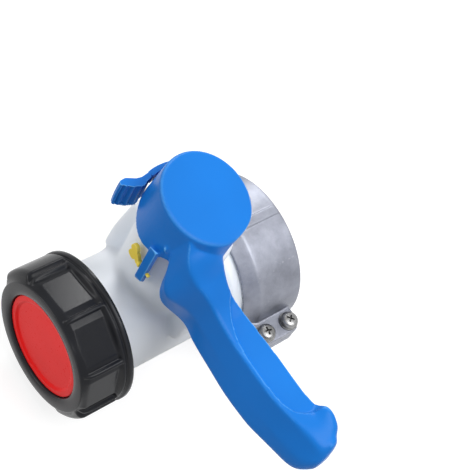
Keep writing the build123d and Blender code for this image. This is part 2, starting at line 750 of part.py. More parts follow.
plate_face_out = cap_front_out - plate_face_recess
plate_points = [
    (0, -plate_back_out),
    (plate_flange_r, -plate_back_out),
    (plate_flange_r, -plate_back_out - plate_flange_thick),
    (plate_step_r, -plate_back_out - plate_flange_thick),
    (plate_step_r, -plate_face_out),
    (plate_step_r - plate_rim_width, -plate_face_out),
    (plate_step_r - plate_rim_width - plate_dish_depth, -plate_face_out + plate_dish_depth),
    (0, -plate_face_out + plate_dish_depth),
]
sealing_plate = turned(plate_points)
save(sealing_plate, "sealing_plate")

cap_gasket_thick = plate_back_out - tube_end_out - run_gap
with BuildPart() as cap_gasket:
    with BuildSketch(Plane.XZ.offset(plate_back_out)):
        Circle(plate_flange_r)
        Circle(bore_r, mode=Mode.SUBTRACT)
    extrude(amount=-cap_gasket_thick)
save(cap_gasket.part, "cap_gasket")

# Handle: hollow hub, neck, grip with its end roll, seal tab and latch ears
hub_reach_z = hub_top_z + hub_top_r / 2
hub_draft = (hub_bottom_r - hub_top_r) / (hub_top_z - hub_bottom_z)
hub_reach_r = hub_bottom_r - hub_draft * (hub_reach_z - hub_bottom_z)
hub_normal = (hub_slope_x_share, hub_slope_y_share, 1)
hub_top_plane = Plane(origin=(0, -stem_out, hub_top_z), z_dir=hub_normal)
hub_roof_plane = hub_top_plane.offset(-hub_wall)
hub_outer = turned(
    [(0, hub_bottom_z), (hub_bottom_r, hub_bottom_z), (hub_reach_r, hub_reach_z), (0, hub_reach_z)],
    axis=stem_axis, plane=stem_plane,
)
hub_hollow = turned(
    [
        (0, hub_bottom_z - cut_over),
        (hub_bottom_r - hub_wall, hub_bottom_z - cut_over),
        (hub_bottom_r - hub_wall, hub_bottom_z),
        (hub_reach_r - hub_wall, hub_reach_z),
        (0, hub_reach_z),
    ],
    axis=stem_axis, plane=stem_plane,
)


def across_at(share):
    return -stem_out + share * grip_sweep


def up_at(share):
    return grip_floor_z + share * grip_rise


def flat_values(shares):
    return [value for spot in shares[1] for value in spot] + list(shares[2])


def slope(places, values, i):
    before = (values[i] - values[i - 1]) / (places[i] - places[i - 1]) if i > 0 else None
    after = (values[i + 1] - values[i]) / (places[i + 1] - places[i]) if i < len(places) - 1 else None
    if before is None:
        return after
    if after is None:
        return before
    return 0 if before * after <= 0 else 2 * before * after / (before + after)


def eased(places, values, place):
    i = max(n for n in range(len(places) - 1) if places[n] <= place)
    step = places[i + 1] - places[i]
    part = (place - places[i]) / step
    rise = values[i + 1] - values[i]
    first = slope(places, values, i) * step
    last = slope(places, values, i + 1) * step
    bend = first + last - rise - rise
    return values[i] + part * (first + part * (rise - first - bend + part * bend))


station_places = [shares[0] for shares in grip_station_shares]
station_columns = list(zip(*[flat_values(shares) for shares in grip_station_shares]))


def station(place):
    values = [eased(station_places, column, place) for column in station_columns]
    corner_count = len(grip_station_shares[0][2])
    corners = [
        (across_at(values[n + n]), up_at(values[n + n + 1])) for n in range(corner_count)
    ]
    radii = [value * grip_edge_fillet for value in values[corner_count * 2:]]
    with BuildSketch(Plane.YZ.offset(place * grip_reach)) as cross:
        with BuildLine():
            Polyline(*corners, close=True)
        make_face()
        for corner, radius in zip(corners, radii):
            near = cross.vertices().filter_by(
                lambda v: math.hypot(v.X - corner[0], v.Y - corner[1]) < run_gap)
            fillet(near, radius=radius)
    return cross.sketch


def hollow(place):
    values = [eased(station_places, column, place) for column in station_columns]
    back, front, side, low_front, low_back = [
        (across_at(values[n + n]), up_at(values[n + n + 1])) for n in range(len(grip_station_shares[0][2]))
    ]
    roof = min(back[1], front[1]) - pocket_roof
    low = min(low_front[1], low_back[1]) - cut_over
    front_at_roof = max(front[0], side[0]) + pocket_wall
    low_in = low_front[0] + pocket_wall
    back_in = min(back[0], low_back[0]) - pocket_wall
    with BuildSketch(Plane.YZ.offset(place * grip_reach)) as cross:
        with BuildLine():
            Polyline(
                (back_in, roof),
                (front_at_roof, roof),
                (low_in + pocket_draft, low),
                (back_in, low),
                close=True,
            )
        make_face()
    return cross.sketch


def ear_outline(height, ear_r):
    ear_root = latch_pivot_r - hub_bottom_r + hub_wall / 2
    with BuildSketch(Plane.XY.offset(height)) as outline:
        with Locations((pivot_x, pivot_y)):
            Circle(ear_r)
        with Locations(Location((pivot_x, pivot_y, 0), (0, 0, latch_pivot_angle))):
            Rectangle(ear_root, ear_r * 2, align=(Align.MAX, Align.CENTER))
    return outline.sketch


pivot_turn = math.radians(latch_pivot_angle)
pivot_x = latch_pivot_r * math.cos(pivot_turn)
pivot_y = -stem_out + latch_pivot_r * math.sin(pivot_turn)
tab_front = stem_out + tab_front_r
tab_mid_y = tab_thick / 2 - tab_front

with BuildPart() as hub_inside:
    add(hub_hollow)
    split(bisect_by=hub_roof_plane, keep=Keep.BOTTOM)
    with Locations((0, -stem_out, hub_boss_bottom_z)):
        Cylinder(hub_boss_r, hub_top_z, align=(Align.CENTER, Align.CENTER, Align.MIN), mode=Mode.SUBTRACT)
        for i in range(hub_rib_count):
            rib_spot = Location(
                (0, 0, hub_rib_bottom_z - hub_boss_bottom_z), (0, 0, i * full_turn / hub_rib_count)
            )
            with Locations(rib_spot):
                Box(
                    hub_bottom_r, hub_rib_thick, hub_top_z,
                    align=(Align.MIN, Align.CENTER, Align.MIN), mode=Mode.SUBTRACT,
                )

station_first = station_places[0]
station_last = station_places[-1]
grip_places = [
    station_first + (station_last - station_first) * i / (grip_station_count - 1)
    for i in range(grip_station_count)
]
with BuildPart() as dish:
    dish_sections = []
    for along, across, up in dish_station_shares:
        with BuildSketch(Plane.YZ.offset(along * grip_reach)) as cross:
            with Locations((across_at(across), up_at(up))):
                Rectangle(grip_sweep + dish_over, dish_over, align=(Align.MIN, Align.MIN))
        dish_sections.append(cross.sketch)
    loft(sections=dish_sections, ruled=True)

pocket_step = (pocket_end_share - pocket_start_share) / pocket_count
pocket_half_rib = pocket_rib / grip_reach / 2
with BuildPart() as pockets:
    for i in range(pocket_count):
        pocket_from = pocket_start_share + i * pocket_step + pocket_half_rib
        pocket_to = pocket_start_share + (i + 1) * pocket_step - pocket_half_rib
        loft(
            sections=[
                hollow(pocket_from + (pocket_to - pocket_from) * n / (pocket_sections - 1))
                for n in range(pocket_sections)
            ],
            ruled=True,
        )

with BuildPart() as hub:
    add(hub_outer)
    split(bisect_by=hub_top_plane, keep=Keep.BOTTOM)
    fillet(hub.edges().filter_by(lambda e: e.center().Z > hub_top_z - hub_h / 2), radius=hub_edge_fillet)

with BuildPart() as handle:
    loft(sections=[station(place) for place in grip_places])
    split(bisect_by=hub_roof_plane, keep=Keep.BOTTOM)
    add(dish.part, mode=Mode.SUBTRACT)
    add(pockets.part, mode=Mode.SUBTRACT)
    with Locations((0, -stem_out, 0)):
        Cylinder(
            wing_half_x + skin_gap + skin_gap, wing_top_z + neck_wing_gap,
            align=(Align.CENTER, Align.CENTER, Align.MIN), mode=Mode.SUBTRACT,
        )
        Cylinder(
            tower_r + neck_tower_gap, hub_bottom_z,
            align=(Align.CENTER, Align.CENTER, Align.MIN), mode=Mode.SUBTRACT,
        )
    add(hub.part)
    add(hub_inside.part, mode=Mode.SUBTRACT)
    with BuildSketch(Plane.XZ.offset(tab_front - tab_thick)) as tab:
        with Locations((tab_x, tab_bottom_z)):
            Rectangle(tab_width, hub_bottom_z - tab_bottom_z + hub_wall, align=(Align.MIN, Align.MIN))
        fillet(tab.vertices().group_by(Axis.Y)[0], radius=tab_corner_r)
    extrude(amount=tab_thick)
    for ear_z in (latch_low_z, latch_top_z - latch_ear_thick):
        add(ear_outline(ear_z, latch_ear_r))
        extrude(amount=latch_ear_thick)
    with Locations((pivot_x, pivot_y, latch_low_z)):
        Cylinder(latch_pin_r + run_gap, latch_top_z, mode=Mode.SUBTRACT)
    with Locations(Location((tab_x, tab_mid_y, seal_z), (0, quarter_turn, 0))):
        Cylinder(seal_pin_r + run_gap, (tab_width + cut_over) * 2, mode=Mode.SUBTRACT)
    with Locations((0, -stem_out, hub_boss_bottom_z - cut_over)):
        Box(
            stem_square + run_gap * 2, stem_square + run_gap * 2,
            stem_top_z + run_gap - hub_boss_bottom_z + cut_over,
            align=(Align.CENTER, Align.CENTER, Align.MIN), mode=Mode.SUBTRACT,
        )
save(handle.part, "handle")

# Thumb latch: a strap that follows the hub's skirt to a ribbed head
strap_in_r = hub_bottom_r + latch_skirt_gap
strap_out_r = strap_in_r + latch_arm_thick
head_turn = math.radians(latch_head_angle)
head_x = strap_out_r * math.cos(head_turn)
head_y = -stem_out + strap_out_r * math.sin(head_turn)
knuckle_low_z = latch_low_z + latch_ear_thick + skin_gap
knuckle_h = latch_top_z - latch_low_z - (latch_ear_thick + skin_gap) * 2
spring_pitch = latch_spring_wire_r * latch_spring_pitch_share
spring_h = spring_pitch * latch_spring_turns


def head_spot(share):
    return head_x + share[0] * latch_head_thick, head_y - share[1] * latch_head_len


with BuildPart() as latch_lever:
    with BuildSketch(Plane((0, -stem_out, latch_low_z))):
        with BuildLine():
            strap_span = latch_head_angle - latch_pivot_angle
            outer = CenterArc((0, 0), strap_out_r, latch_pivot_angle, strap_span)
            inner = CenterArc((0, 0), strap_in_r, latch_pivot_angle, strap_span)
            Line(inner @ 0, outer @ 0)
            Line(inner @ 1, outer @ 1)
        make_face()
    extrude(amount=latch_top_z - latch_low_z)
    add(ear_outline(latch_low_z, latch_ear_r + skin_gap))
    extrude(amount=latch_top_z - latch_low_z, mode=Mode.SUBTRACT)
    with BuildSketch(Plane.XY.offset(latch_bottom_z)) as head:
        with BuildLine():
            Polyline(*[head_spot(share) for share in latch_head_shares], close=True)
        make_face()
        fillet(
            head.vertices().filter_by(lambda v: v.Y < head_y - latch_head_fillet),
            radius=latch_head_fillet,
        )
        for i in range(latch_rib_count):
            part = i / (latch_rib_count - 1)
            rib_share = [
                first + (last - first) * part
                for first, last in zip(latch_rib_start_share, latch_rib_end_share)
            ]
            with Locations(head_spot(rib_share)):
                Circle(latch_rib_r)
    extrude(amount=latch_top_z - latch_bottom_z)
    with Locations((0, -stem_out, latch_bottom_z)):
        Cylinder(
            strap_in_r, latch_top_z,
            align=(Align.CENTER, Align.CENTER, Align.MIN), mode=Mode.SUBTRACT,
        )
    with BuildSketch(Plane.XY.offset(knuckle_low_z)):
        with Locations((pivot_x, pivot_y)):
            Circle(latch_knuckle_r)
        with Locations(Location((pivot_x, pivot_y, 0), (0, 0, latch_pivot_angle + quarter_turn))):
            Rectangle(
                latch_ear_r + skin_gap + latch_ear_thick, latch_arm_thick,
                align=(Align.MIN, Align.CENTER),
            )
    extrude(amount=knuckle_h - spring_h - skin_gap)
    with Locations((pivot_x, pivot_y, latch_low_z)):
        Cylinder(latch_pin_r + run_gap, latch_top_z, mode=Mode.SUBTRACT)
save(latch_lever.part, "latch_lever")

with BuildPart() as latch_pin:
    with Locations((pivot_x, pivot_y, latch_low_z)):
        Cylinder(
            latch_pin_r, latch_top_z - latch_low_z,
            align=(Align.CENTER, Align.CENTER, Align.MIN),
        )
    with Locations((pivot_x, pivot_y, latch_top_z)):
        Cylinder(latch_pin_head_r, latch_pin_head_h, align=(Align.CENTER, Align.CENTER, Align.MIN))
save(latch_pin.part, "latch_pin")

with BuildPart() as latch_spring:
    for i in range(latch_spring_turns):
        with Locations((pivot_x, pivot_y,
                        knuckle_low_z + knuckle_h - spring_h + latch_spring_wire_r + spring_pitch * i)):
            Torus(latch_pin_r + run_gap * 2 + latch_spring_wire_r, latch_spring_wire_r)
save(latch_spring.part, "latch_spring")

# Pull-out seal: pin through the tab, collar and a three-lobed bow to grip
with BuildPart() as tamper_seal:
    seal_start = tab_x - skin_gap - seal_collar_thick - seal_neck_len
    seal_len = tab_x + tab_width + seal_tail_len - seal_start
    with Locations(Location((seal_start, tab_mid_y, seal_z), (0, quarter_turn, 0))):
        Cylinder(seal_pin_r, seal_len, align=(Align.CENTER, Align.CENTER, Align.MIN))
    with Locations(Location((seal_start + seal_neck_len, tab_mid_y, seal_z), (0, quarter_turn, 0))):
        Cylinder(seal_collar_r, seal_collar_thick, align=(Align.CENTER, Align.CENTER, Align.MIN))
    with BuildSketch(Plane.XZ.offset(-tab_mid_y - seal_bow_thick / 2)):
        with Locations((seal_start - seal_bow_r, seal_z)):
            with PolarLocations(seal_bow_r, seal_bow_count):
                Circle(seal_bow_r)
    extrude(amount=seal_bow_thick)
save(tamper_seal.part, "tamper_seal")
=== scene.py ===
import math

import bmesh
import bpy
from mathutils import Matrix, Vector


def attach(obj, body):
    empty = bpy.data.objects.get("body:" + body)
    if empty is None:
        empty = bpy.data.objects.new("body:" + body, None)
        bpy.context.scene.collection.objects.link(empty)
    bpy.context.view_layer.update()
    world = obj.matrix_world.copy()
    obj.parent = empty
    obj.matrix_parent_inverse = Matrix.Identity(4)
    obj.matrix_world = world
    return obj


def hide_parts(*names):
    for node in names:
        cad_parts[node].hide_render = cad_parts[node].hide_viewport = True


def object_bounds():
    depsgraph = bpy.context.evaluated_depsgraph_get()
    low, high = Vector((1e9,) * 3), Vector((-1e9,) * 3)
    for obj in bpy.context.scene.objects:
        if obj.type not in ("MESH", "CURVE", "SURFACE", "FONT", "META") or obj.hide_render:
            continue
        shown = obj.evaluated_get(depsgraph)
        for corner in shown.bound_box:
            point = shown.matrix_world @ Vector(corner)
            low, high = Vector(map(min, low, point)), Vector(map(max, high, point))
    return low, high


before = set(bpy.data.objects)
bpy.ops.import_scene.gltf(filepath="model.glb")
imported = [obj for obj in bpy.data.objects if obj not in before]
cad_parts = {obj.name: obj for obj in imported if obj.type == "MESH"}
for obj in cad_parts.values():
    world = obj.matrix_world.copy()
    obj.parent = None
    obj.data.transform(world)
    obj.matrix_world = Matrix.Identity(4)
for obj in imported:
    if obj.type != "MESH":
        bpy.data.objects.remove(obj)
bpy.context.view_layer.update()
print("stage: frame loaded")


def newMaterial(name):
    mat = bpy.data.materials.new(name)
    mat.use_nodes = True
    nodes = mat.node_tree.nodes
    links = mat.node_tree.links
    shader = nodes["Principled BSDF"]
    coords = nodes.new("ShaderNodeTexCoord")
    return mat, nodes, links, shader, coords


def addNoise(nodes, links, coords, scale, detail, rough=0.5):
    noise = nodes.new("ShaderNodeTexNoise")
    noise.inputs["Scale"].default_value = scale
    noise.inputs["Detail"].default_value = detail
    noise.inputs["Roughness"].default_value = rough
    links.new(coords.outputs["Object"], noise.inputs["Vector"])
    return noise


def addRamp(nodes, links, source, stops):
    ramp = nodes.new("ShaderNodeValToRGB")
    while len(ramp.color_ramp.elements) < len(stops):
        ramp.color_ramp.elements.new(0.5)
    for element, (place, colour) in zip(ramp.color_ramp.elements, stops):
        element.position = place
        element.color = (*colour, 1)
    links.new(source, ramp.inputs["Fac"])
    return ramp


def addRange(nodes, links, source, low, high, fromLow=0.3, fromHigh=0.7):
    span = nodes.new("ShaderNodeMapRange")
    span.inputs["From Min"].default_value = fromLow
    span.inputs["From Max"].default_value = fromHigh
    span.inputs["To Min"].default_value = low
    span.inputs["To Max"].default_value = high
    links.new(source, span.inputs["Value"])
    return span


def addBump(nodes, links, height, strength, distance):
    bump = nodes.new("ShaderNodeBump")
    bump.inputs["Strength"].default_value = strength
    bump.inputs["Distance"].default_value = distance
    links.new(height, bump.inputs["Height"])
    return bump


def dress(names, mat):
    for name in names:
        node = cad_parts[name]
        node.data.materials.clear()
        node.data.materials.append(mat)


# Painted edge highlight: a lighter colour is painted where a surface is convex, in place of light caught on
# rounded edges
def addEdgeHighlight(nodes, links, shader, ramp, look, pointed):
    highlighted = nodes.new("ShaderNodeMix")
    highlighted.data_type = "RGBA"
    edge = nodes.new("ShaderNodeNewGeometry")
    highlightSpan = addRange(nodes, links, edge.outputs["Pointiness"], 0.0, look["edgeHighlight"], *pointed)
    links.new(highlightSpan.outputs["Result"], highlighted.inputs["Factor"])
    links.new(ramp.outputs["Color"], highlighted.inputs["A"])
    highlighted.inputs["B"].default_value = (*look["highlightColour"], 1)
    links.new(highlighted.outputs["Result"], shader.inputs["Base Color"])


mouldedSkin = {
    "driftDetail": 2.0, "stops": (0.3, 0.7), "pointed": (0.518, 0.555), "grainDetail": 4.0, "grainRough": 0.6,
    "smoother": 0.04, "rougher": 0.05, "bump": 0.0002,
}


# Moulded plastic: a slow drift of colour, fine grain and a painted highlight on convex edges
def mouldedPlastic(name, look):
    mat, nodes, links, shader, coords = newMaterial(name)
    slow = addNoise(nodes, links, coords, look["driftScale"], mouldedSkin["driftDetail"])
    base = Vector(look["colour"])
    darker, lighter = mouldedSkin["stops"]
    ramp = addRamp(nodes, links, slow.outputs["Fac"], [
        (darker, tuple(base * (1 - look["drift"]))),
        (lighter, tuple(min(1.0, c * (1 + look["drift"])) for c in base)),
    ])
    addEdgeHighlight(nodes, links, shader, ramp, look, mouldedSkin["pointed"])
    fineDetail, fineRough = mouldedSkin["grainDetail"], mouldedSkin["grainRough"]
    fine = addNoise(nodes, links, coords, look["grainScale"], fineDetail, fineRough)
    smoothest = look["rough"] - mouldedSkin["smoother"]
    roughest = look["rough"] + mouldedSkin["rougher"]
    roughSpan = addRange(nodes, links, fine.outputs["Fac"], smoothest, roughest)
    links.new(roughSpan.outputs["Result"], shader.inputs["Roughness"])
    bump = addBump(nodes, links, fine.outputs["Fac"], look["grain"], mouldedSkin["bump"])
    links.new(bump.outputs["Normal"], shader.inputs["Normal"])
    for socket, value in look.get("sockets", {}).items():
        shader.inputs[socket].default_value = value
    return mat


# In each plastic look, the edge colour and its amount give a painted highlight on convex edges
blueLook = {
    "colour": (0.010, 0.175, 0.61), "highlightColour": (0.16, 0.50, 0.95), "drift": 0.05, "driftScale": 22.0,
    "edgeHighlight": 0.85, "grainScale": 900.0, "grain": 0.03, "rough": 0.34,
    "sockets": {"Specular IOR Level": 0.12},
}
naturalLook = {
    "colour": (0.84, 0.885, 0.99), "highlightColour": (0.92, 0.94, 0.99), "drift": 0.02, "driftScale": 30.0,
    "edgeHighlight": 0.3, "grainScale": 700.0, "grain": 0.06, "rough": 0.42,
    "sockets": {"Subsurface Weight": 0.7, "Subsurface Scale": 0.010, "Subsurface Radius": (1.0, 1.0, 1.0)},
}
blackLook = {
    "colour": (0.011, 0.0117, 0.0145), "highlightColour": (0.06, 0.06, 0.065), "drift": 0.25, "driftScale": 26.0,
    "edgeHighlight": 0.25, "grainScale": 600.0, "grain": 0.04, "rough": 0.2,
    "sockets": {"Specular IOR Level": 0.15},
}
redLook = {
    "colour": (0.95, 0.016, 0.016), "highlightColour": (1.0, 0.10, 0.09), "drift": 0.06, "driftScale": 24.0,
    "edgeHighlight": 0.3, "grainScale": 800.0, "grain": 0.0, "rough": 0.3,
    "sockets": {"Specular IOR Level": 0.06},
}
yellowLook = {
    "colour": (1.0, 0.74, 0.08), "highlightColour": (1.0, 0.85, 0.3), "drift": 0.08, "driftScale": 60.0,
    "edgeHighlight": 0.4, "grainScale": 900.0, "grain": 0.05, "rough": 0.35,
}
whiteLook = {
    "colour": (0.72, 0.72, 0.70), "highlightColour": (0.8, 0.8, 0.78), "drift": 0.03, "driftScale": 40.0,
    "edgeHighlight": 0.3, "grainScale": 800.0, "grain": 0.05, "rough": 0.4,
}
rubberLook = {
    "colour": (0.02, 0.02, 0.021), "highlightColour": (0.05, 0.05, 0.05), "drift": 0.2, "driftScale": 50.0,
    "edgeHighlight": 0.4, "grainScale": 500.0, "grain": 0.15, "rough": 0.7,
}


metalSkin = {
    "cloudDetail": 6.0, "cloudRough": 0.65, "stops": (0.3, 0.72), "pointed": (0.56, 0.68), "pitDetail": 5.0,
    "pitRough": 0.7, "smoother": 0.06, "rougher": 0.08, "bump": 0.0003,
}


# Bare metal: cloudy grey, a fine pitted skin, and a painted highlight on convex edges
def castMetal(name, look):
    mat, nodes, links, shader, coords = newMaterial(name)
    cloudDetail, cloudRough = metalSkin["cloudDetail"], metalSkin["cloudRough"]
    cloud = addNoise(nodes, links, coords, look["cloudScale"], cloudDetail, cloudRough)
    darker, lighter = metalSkin["stops"]
    ramp = addRamp(nodes, links, cloud.outputs["Fac"], [(darker, look["dark"]), (lighter, look["light"])])
    addEdgeHighlight(nodes, links, shader, ramp, look, metalSkin["pointed"])
    shader.inputs["Metallic"].default_value = look["metallic"]
    pits = addNoise(nodes, links, coords, look["pitScale"], metalSkin["pitDetail"], metalSkin["pitRough"])
    smoothest = look["rough"] - metalSkin["smoother"]
    roughest = look["rough"] + metalSkin["rougher"]
    roughSpan = addRange(nodes, links, cloud.outputs["Fac"], smoothest, roughest)
    links.new(roughSpan.outputs["Result"], shader.inputs["Roughness"])
    bump = addBump(nodes, links, pits.outputs["Fac"], look["pits"], metalSkin["bump"])
    links.new(bump.outputs["Normal"], shader.inputs["Normal"])
    return mat


# In each metal look, the edge colour and its amount give a painted highlight on convex edges
castLook = {
    "dark": (0.20, 0.21, 0.25), "light": (0.32, 0.335, 0.39), "highlightColour": (0.38, 0.39, 0.44),
    "edgeHighlight": 0.6, "cloudScale": 90.0, "pitScale": 1500.0, "pits": 0.35, "metallic": 0.72, "rough": 0.42,
}
zincLook = {
    "dark": (0.17, 0.17, 0.17), "light": (0.33, 0.33, 0.33), "highlightColour": (0.5, 0.5, 0.5),
    "edgeHighlight": 0.6, "cloudScale": 260.0, "pitScale": 2500.0, "pits": 0.1, "metallic": 1.0, "rough": 0.3,
}

bluePlastic = mouldedPlastic("bluePlastic", blueLook)
naturalPlastic = mouldedPlastic("naturalPlastic", naturalLook)
blackPlastic = mouldedPlastic("blackPlastic", blackLook)
redPlastic = mouldedPlastic("redPlastic", redLook)
yellowPlastic = mouldedPlastic("yellowPlastic", yellowLook)
whitePlastic = mouldedPlastic("whitePlastic", whiteLook)
blackRubber = mouldedPlastic("blackRubber", rubberLook)
castAluminium = castMetal("castAluminium", castLook)
zincSteel = castMetal("zincSteel", zincLook)
dress(["handle", "latch_lever"], bluePlastic)
dress(["valve_body"], naturalPlastic)
dress(["cap_ring"], blackPlastic)
dress(["sealing_plate"], redPlastic)
dress(["tamper_seal"], yellowPlastic)
dress(["stem_bush", "stem", "disc"], whitePlastic)
dress(["tank_gasket", "stem_o_rings", "disc_seal", "cap_gasket"], blackRubber)
dress(["clamp_upper_half", "clamp_lower_half"], castAluminium)
dress(["clamp_hinge_pin", "clamp_screws", "clamp_washers", "clamp_nuts"], zincSteel)
dress(["disc_pins", "latch_pin", "latch_spring"], zincSteel)
print("stage: materials on the solids")


# The turn keeps a flat face off the voxel grid, and slivers under this share of a voxel are welded
remeshing = {"turnAxis": (1.0, 0.6, 0.3), "weldShare": 0.3}


# A merged copy of a solid, remeshed finely and eased, so that every edge gets a moulded radius
def easedCopy(nodeName, pieceName, look, mat, body):
    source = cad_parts[nodeName]
    mesh = source.data.copy()
    mesh.name = pieceName
    piece = bpy.data.objects.new(pieceName, mesh)
    bpy.context.scene.collection.objects.link(piece)
    bm = bmesh.new()
    bm.from_mesh(mesh)
    bmesh.ops.remove_doubles(bm, verts=bm.verts, dist=look["merge"])
    twist = Matrix.Rotation(look.get("twist", 0.0), 4, Vector(remeshing["turnAxis"]))
    bmesh.ops.transform(bm, matrix=twist, verts=bm.verts)
    bm.to_mesh(mesh)
    bm.free()
    remesh = piece.modifiers.new("remesh", "REMESH")
    remesh.mode = "VOXEL"
    remesh.voxel_size = look["voxel"]
    remesh.adaptivity = 0.0
    remesh.use_smooth_shade = True
    ease = piece.modifiers.new("ease", "SMOOTH")
    ease.factor = look["factor"]
    ease.iterations = look["rounds"]
    depsgraph = bpy.context.evaluated_depsgraph_get()
    made = bpy.data.meshes.new_from_object(piece.evaluated_get(depsgraph))
    piece.modifiers.clear()
    piece.data = made
    made.name = pieceName
    made.transform(twist.inverted())
    bm = bmesh.new()
    bm.from_mesh(made)
    bmesh.ops.remove_doubles(bm, verts=bm.verts, dist=look["voxel"] * remeshing["weldShare"])
    bm.to_mesh(made)
    bm.free()
    made.materials.clear()
    made.materials.append(mat)
    for polygon in made.polygons:
        polygon.use_smooth = True
    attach(piece, body)
    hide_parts(nodeName)
    print("stage:", pieceName, len(made.polygons), "faces")
    return piece


# One at the centre of a pull and none at the end of its reach
def falloff(share):
    return max(0.0, 1 - share * share) ** 2


# Soft pulls on an eased piece: each moves what lies within its reach, most at its centre
def pullPoints(piece, pulls):
    for vert in piece.data.vertices:
        start = vert.co.copy()
        for centre, reach, shift in pulls:
            gap = math.sqrt(sum(((start[k] - centre[k]) / reach[k]) ** 2 for k in range(3)))
            if gap < 1:
                vert.co += Vector(shift) * falloff(gap)


# Rises from 0 at low to 1 at high, with a soft start and end
def smoothStep(low, high, value):
    part = min(1.0, max(0.0, (value - low) / (high - low)))
    return part * part * (3 - 2 * part)


handleEase = {"merge": 0.00001, "voxel": 0.00062, "factor": 0.5, "rounds": 5}
handleShell = easedCopy("handle", "handleShell", handleEase, bluePlastic, "turner")

# The hub's skirt hangs lower at its front and rises beside the neck: (bearing, half width in degrees, amount)
skirt = {
    "axisY": -0.0675, "bottomZ": 0.074, "topZ": 0.0925, "innerR": 0.0262, "outerR": 0.0278,
    "lobes": ((258.0, 50.0, -0.0055), (28.0, 36.0, 0.0095)), "tuck": (22.0, 40.0, 0.0055),
}


# One at the centre bearing and none where the lobe's half width ends
def swell(bearing, centre, width):
    off = abs((bearing - centre + 180) % 360 - 180)
    return math.cos(math.radians(off / width * 90)) ** 2 if off < width else 0.0


def hangSkirt(piece):
    for vert in piece.data.vertices:
        x, y = vert.co.x, vert.co.y - skirt["axisY"]
        radius = math.hypot(x, y)
        if radius > skirt["outerR"] or vert.co.z > skirt["topZ"]:
            continue
        share = min(1.0, (skirt["topZ"] - vert.co.z) / (skirt["topZ"] - skirt["bottomZ"]))
        share *= 1 - smoothStep(skirt["innerR"], skirt["outerR"], radius)
        bearing = math.degrees(math.atan2(y, x))
        for centre, width, lift in skirt["lobes"]:
            vert.co.z += lift * share * swell(bearing, centre, width)
        centre, width, depth = skirt["tuck"]
        if radius > depth:
            pull = depth * share * swell(bearing, centre, width) / radius
            vert.co.x -= x * pull
            vert.co.y -= y * pull


hangSkirt(handleShell)

# Each pull: centre, reach and shift
handlePulls = {
    "wholeEnd": ((0.1140, -0.0720, 0.058), (0.024, 0.024, 0.024), (0.0012, 0.0008, 0.0002)),
    "hookTip": ((0.1055, -0.0610, 0.066), (0.0070, 0.0085, 0.0090), (-0.0012, 0.0014, 0.0026)),
    "hookBack": ((0.1185, -0.0680, 0.060), (0.0100, 0.0100, 0.0120), (-0.0018, -0.0004, 0.0000)),
    "hookTop": ((0.1120, -0.0625, 0.064), (0.0075, 0.0075, 0.0090), (0.0006, 0.0012, 0.0004)),
    "neckTop": ((0.0215, -0.0790, 0.0815), (0.013, 0.016, 0.009), (0.0, 0.0, 0.0028)),
    "lowerCorner": ((0.1130, -0.0825, 0.050), (0.014, 0.014, 0.014), (0.0008, -0.0006, -0.0009)),
}
pullPoints(handleShell, handlePulls.values())

# The grip's end is smoothed most at its tip
roundEnd = {"fromX": 0.1015, "fullX": 0.109, "factor": 0.5, "rounds": 40}
endGroup = handleShell.vertex_groups.new(name="end")
for vert in handleShell.data.vertices:
    if vert.co.x > roundEnd["fromX"]:
        endGroup.add([vert.index], smoothStep(roundEnd["fromX"], roundEnd["fullX"], vert.co.x), "REPLACE")
rounder = handleShell.modifiers.new("rounder", "SMOOTH")
rounder.factor = roundEnd["factor"]
rounder.iterations = roundEnd["rounds"]
rounder.vertex_group = "end"
rounded = bpy.data.meshes.new_from_object(handleShell.evaluated_get(bpy.context.evaluated_depsgraph_get()))
handleShell.modifiers.clear()
handleShell.vertex_groups.clear()
handleShell.data = rounded
rounded.name = "handleShell"

latchEase = {"merge": 0.000005, "voxel": 0.00022, "factor": 0.5, "rounds": 2}
latchShell = easedCopy("latch_lever", "latchShell", latchEase, bluePlastic, "latch")

# Thumb pad: upright flutes across its face, and the tip pulled out
padLook = {"fromY": -0.0902, "toY": -0.0765, "pitch": 0.0029, "depth": 0.0010, "facing": 0.3}


def flutePad(piece):
    normals = [vert.normal.copy() for vert in piece.data.vertices]
    for vert, normal in zip(piece.data.vertices, normals):
        if normal.x > padLook["facing"] and padLook["fromY"] < vert.co.y < padLook["toY"]:
            wave = math.cos(2 * math.pi * (vert.co.y - padLook["fromY"]) / padLook["pitch"])
            vert.co -= normal * padLook["depth"] * (0.5 + 0.5 * wave)


flutePad(latchShell)
latchPulls = {"tip": ((-0.0270, -0.0905, 0.072), (0.009, 0.012, 0.03), (-0.0016, -0.0012, 0.0002))}
pullPoints(latchShell, latchPulls.values())

sealEase = {"merge": 0.000005, "voxel": 0.0002, "factor": 0.5, "rounds": 3}
sealShell = easedCopy("tamper_seal", "sealShell", sealEase, yellowPlastic, "seal")
sealPulls = {"wing": ((-0.0055, -0.0935, 0.058), (0.0085, 0.02, 0.03), (0.0016, 0.0, 0.0034))}
pullPoints(sealShell, sealPulls.values())

bodyEase = {"merge": 0.00001, "voxel": 0.00085, "factor": 0.5, "rounds": 3}
bodyShell = easedCopy("valve_body", "bodyShell", bodyEase, naturalPlastic, "valve")
bodyPulls = {"wing": ((-0.028, -0.076, 0.026), (0.009, 0.009, 0.030), (-0.0016, -0.0010, -0.0002))}
pullPoints(bodyShell, bodyPulls.values())

clampEase = {"merge": 0.00001, "voxel": 0.00042, "factor": 0.5, "rounds": 4, "twist": 0.2}
easedCopy("clamp_upper_half", "upperRing", clampEase, castAluminium, "valve")
easedCopy("clamp_lower_half", "lowerRing", clampEase, castAluminium, "valve")

plateEase = {"merge": 0.00001, "voxel": 0.00045, "factor": 0.5, "rounds": 4}
easedCopy("sealing_plate", "plateShell", plateEase, redPlastic, "closure")


